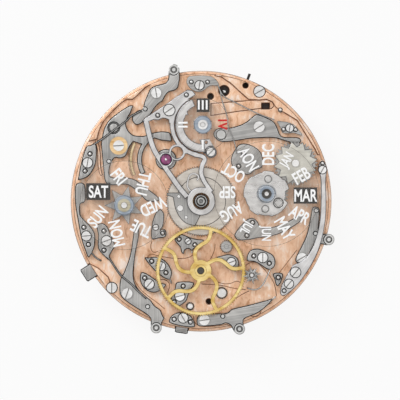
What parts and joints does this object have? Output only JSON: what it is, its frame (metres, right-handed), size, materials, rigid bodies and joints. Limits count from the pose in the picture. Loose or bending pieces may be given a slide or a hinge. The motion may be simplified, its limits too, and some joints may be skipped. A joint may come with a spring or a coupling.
{
  "type": "watch movement",
  "caption": "Round perpetual calendar watch movement seen from the dial side, with day, month, leap year and moon work on levers, and a going train behind.",
  "frame": {"origin": "centre axis, in the plane on which the flange sits in its case", "axes": "+Z out of the dial side along the centre axis, +Y to 12 o clock, +X to 3 o clock"},
  "size_m": [0.0323, 0.0331, 0.008],
  "materials": {
    "rose_plate": "rose gilt, circular grained",
    "steel": "straight brushed",
    "polished_steel": "polished",
    "screws": "polished",
    "gilt_brass": "gilt",
    "pale_brass": "silvered",
    "clear_disc": "clear",
    "window_black": "matt",
    "ruby": "polished",
    "blue_spring": "blued"
  },
  "bodies": {
    "plate": {"main_plate": "rose_plate", "calendar_plate": "rose_plate", "dial_screws": "screws", "dial_pins": "screws", "calendar_bridge": "polished_steel", "arc_bridge": "polished_steel", "spring_foot_top": "steel", "spring_foot_ne": "steel", "spring_foot_sw": "steel", "spring_foot_w": "steel", "spring_foot_nw": "steel", "moon_work_feet": "steel", "bottom_foot": "steel", "kidney_foot": "steel", "date_work_feet": "steel", "cover_plates": "steel", "window_backings": "window_black", "lever_screws": "screws", "disc_posts": "screws", "hairspring": "blue_spring", "barrel_bridge": "rose_plate", "train_bridge": "rose_plate", "balance_cock": "rose_plate", "bridge_screws": "screws", "jewels": "ruby"},
    "corrector_nw": {"corrector_nw": "steel"},
    "corrector_e": {"corrector_e": "steel"},
    "corrector_sw": {"corrector_sw": "steel"},
    "corrector_s": {"corrector_s": "steel"},
    "calendar_lever": {"calendar_lever": "steel", "rack_sector": "gilt_brass"},
    "month_lever": {"month_lever": "steel"},
    "day": {"day_star": "steel", "day_disc": "clear_disc"},
    "month": {"month_cam": "steel", "month_disc": "clear_disc"},
    "month_star": {"month_star": "pale_brass"},
    "year_satellite": {"year_satellite": "steel"},
    "leap": {"leap_star": "steel", "leap_disc": "clear_disc"},
    "moon_wheel": {"moon_wheel": "gilt_brass"},
    "moon_star": {"moon_star": "steel"},
    "date_wheel": {"date_wheel": "pale_brass"},
    "case_pusher_w": {"case_pusher_w": "steel"},
    "case_pusher_s": {"case_pusher_s": "steel"},
    "hour_wheel": {"hour_wheel": "gilt_brass"},
    "minute_wheel": {"minute_wheel": "gilt_brass"},
    "centre": {"centre_wheel": "gilt_brass", "cannon_pinion": "steel"},
    "barrel": {"barrel": "gilt_brass", "mainspring": "blue_spring"},
    "third_wheel": {"third_wheel": "gilt_brass"},
    "fourth_wheel": {"fourth_wheel": "gilt_brass"},
    "escape_wheel": {"escape_wheel": "steel"},
    "pallet_fork": {"pallet_fork": "steel"},
    "balance": {"balance": "gilt_brass"},
    "winding_pinion": {"winding_pinion": "steel"},
    "crown_wheel": {"crown_wheel": "steel"},
    "ratchet_wheel": {"ratchet_wheel": "steel"},
    "click": {"click": "steel"}
  },
  "joints": [
    {"name": "corrector_nw_pivot", "type": "hinge", "parent": "plate", "child": "corrector_nw", "pos_m": [-0.0055, 0.01325, 0], "axis": [0, 0, 1], "range_deg": [-4, 0]},
    {"name": "corrector_e_pivot", "type": "hinge", "parent": "plate", "child": "corrector_e", "pos_m": [0.01235, -0.00695, 0], "axis": [0, 0, 1], "range_deg": [0, 4]},
    {"name": "corrector_sw_pivot", "type": "hinge", "parent": "plate", "child": "corrector_sw", "pos_m": [-0.00905, -0.0113, 0], "axis": [0, 0, 1], "range_deg": [0, 3.5]},
    {"name": "corrector_s_pivot", "type": "hinge", "parent": "plate", "child": "corrector_s", "pos_m": [0.0004, -0.01455, 0], "axis": [0, 0, 1], "range_deg": [0, 3]},
    {"name": "calendar_lever_pivot", "type": "hinge", "parent": "plate", "child": "calendar_lever", "pos_m": [-0.0101, 0.0068, 0], "axis": [0, 0, 1], "range_deg": [-1.5, 1.5]},
    {"name": "month_lever_pivot", "type": "hinge", "parent": "plate", "child": "month_lever", "pos_m": [0.0071, 0.0091, 0], "axis": [0, 0, 1], "range_deg": [-1.5, 1.5]},
    {"name": "day_spin", "type": "hinge", "parent": "plate", "child": "day", "pos_m": [-0.0094, -0.0005, 0], "axis": [0, 0, 1], "continuous": true},
    {"name": "month_spin", "type": "hinge", "parent": "plate", "child": "month", "pos_m": [0.008, 0.0009, 0], "axis": [0, 0, 1], "continuous": true},
    {"name": "month_star_spin", "type": "hinge", "parent": "plate", "child": "month_star", "pos_m": [0.01155, 0.00465, 0], "axis": [0, 0, 1], "continuous": true},
    {"name": "year_satellite_spin", "type": "hinge", "parent": "month", "child": "year_satellite", "pos_m": [0.00945, -0.0002, 0], "axis": [0, 0, 1], "continuous": true},
    {"name": "leap_spin", "type": "hinge", "parent": "plate", "child": "leap", "pos_m": [0.0002, 0.00935, 0], "axis": [0, 0, 1], "continuous": true},
    {"name": "moon_wheel_spin", "type": "hinge", "parent": "plate", "child": "moon_wheel", "pos_m": [-0.00005, -0.0085, 0], "axis": [0, 0, 1], "continuous": true},
    {"name": "moon_star_spin", "type": "hinge", "parent": "plate", "child": "moon_star", "pos_m": [0.0062, -0.00905, 0], "axis": [0, 0, 1], "continuous": true},
    {"name": "date_spin", "type": "hinge", "parent": "plate", "child": "date_wheel", "pos_m": [0, 0, 0], "axis": [0, 0, 1], "continuous": true},
    {"name": "case_pusher_w_slide", "type": "slide", "parent": "plate", "child": "case_pusher_w", "axis": [0.8434, 0.5373, 0], "range_m": [0, 0.0004]},
    {"name": "case_pusher_s_slide", "type": "slide", "parent": "plate", "child": "case_pusher_s", "axis": [0.1495, 0.9888, 0], "range_m": [0, 0.0003]},
    {"name": "escape_spin", "type": "hinge", "parent": "plate", "child": "escape_wheel", "pos_m": [-0.00286, -0.00721, 0], "axis": [0, 0, 1], "continuous": true},
    {"name": "fourth_spin", "type": "hinge", "parent": "plate", "child": "fourth_wheel", "pos_m": [-0.00522, -0.00523, 0], "axis": [0, 0, 1], "continuous": true},
    {"name": "third_spin", "type": "hinge", "parent": "plate", "child": "third_wheel", "pos_m": [-0.00423, -0.00154, 0], "axis": [0, 0, 1], "continuous": true},
    {"name": "centre_spin", "type": "hinge", "parent": "plate", "child": "centre", "pos_m": [0, 0, 0], "axis": [0, 0, 1], "continuous": true},
    {"name": "barrel_spin", "type": "hinge", "parent": "plate", "child": "barrel", "pos_m": [0.00376, 0.00448, 0], "axis": [0, 0, 1], "continuous": true},
    {"name": "minute_spin", "type": "hinge", "parent": "plate", "child": "minute_wheel", "pos_m": [-0.00246, -0.00172, 0], "axis": [0, 0, 1], "continuous": true},
    {"name": "hour_spin", "type": "hinge", "parent": "plate", "child": "hour_wheel", "pos_m": [0, 0, 0], "axis": [0, 0, 1], "continuous": true},
    {"name": "pallet_fork_pivot", "type": "hinge", "parent": "plate", "child": "pallet_fork", "pos_m": [-0.00069, -0.008, 0], "axis": [0, 0, 1], "range_deg": [-3, 3]},
    {"name": "balance_swing", "type": "hinge", "parent": "plate", "child": "balance", "pos_m": [0.00251, -0.00917, 0], "axis": [0, 0, 1], "range_deg": [-150, 150], "stiffness_Nm_per_rad": 0.00000015},
    {"name": "winding_spin", "type": "hinge", "parent": "plate", "child": "winding_pinion", "pos_m": [0.0085, 0, -0.002], "axis": [1, 0, 0], "continuous": true},
    {"name": "crown_spin", "type": "hinge", "parent": "plate", "child": "crown_wheel", "pos_m": [0.00613, 0, 0], "axis": [0, 0, 1], "continuous": true},
    {"name": "ratchet_spin", "type": "hinge", "parent": "plate", "child": "ratchet_wheel", "pos_m": [0.00376, 0.00448, 0], "axis": [0, 0, 1], "continuous": true},
    {"name": "click_pivot", "type": "hinge", "parent": "plate", "child": "click", "pos_m": [0.00109, 0.00766, 0], "axis": [0, 0, 1], "range_deg": [-12, 0]}
  ],
  "couplings": [
    {"joint": "month_star_spin", "follows": "month_spin", "ratio": -1},
    {"joint": "moon_star_spin", "follows": "moon_wheel_spin", "ratio": -7.375},
    {"joint": "escape_spin", "follows": "fourth_spin", "ratio": -10},
    {"joint": "third_spin", "follows": "fourth_spin", "ratio": -0.13333},
    {"joint": "centre_spin", "follows": "fourth_spin", "ratio": 0.016667},
    {"joint": "barrel_spin", "follows": "fourth_spin", "ratio": -0.0020833},
    {"joint": "minute_spin", "follows": "fourth_spin", "ratio": -0.0055556},
    {"joint": "hour_spin", "follows": "fourth_spin", "ratio": 0.0013889},
    {"joint": "crown_spin", "follows": "winding_spin", "ratio": 0.4},
    {"joint": "ratchet_spin", "follows": "winding_spin", "ratio": -0.25}
  ]
}
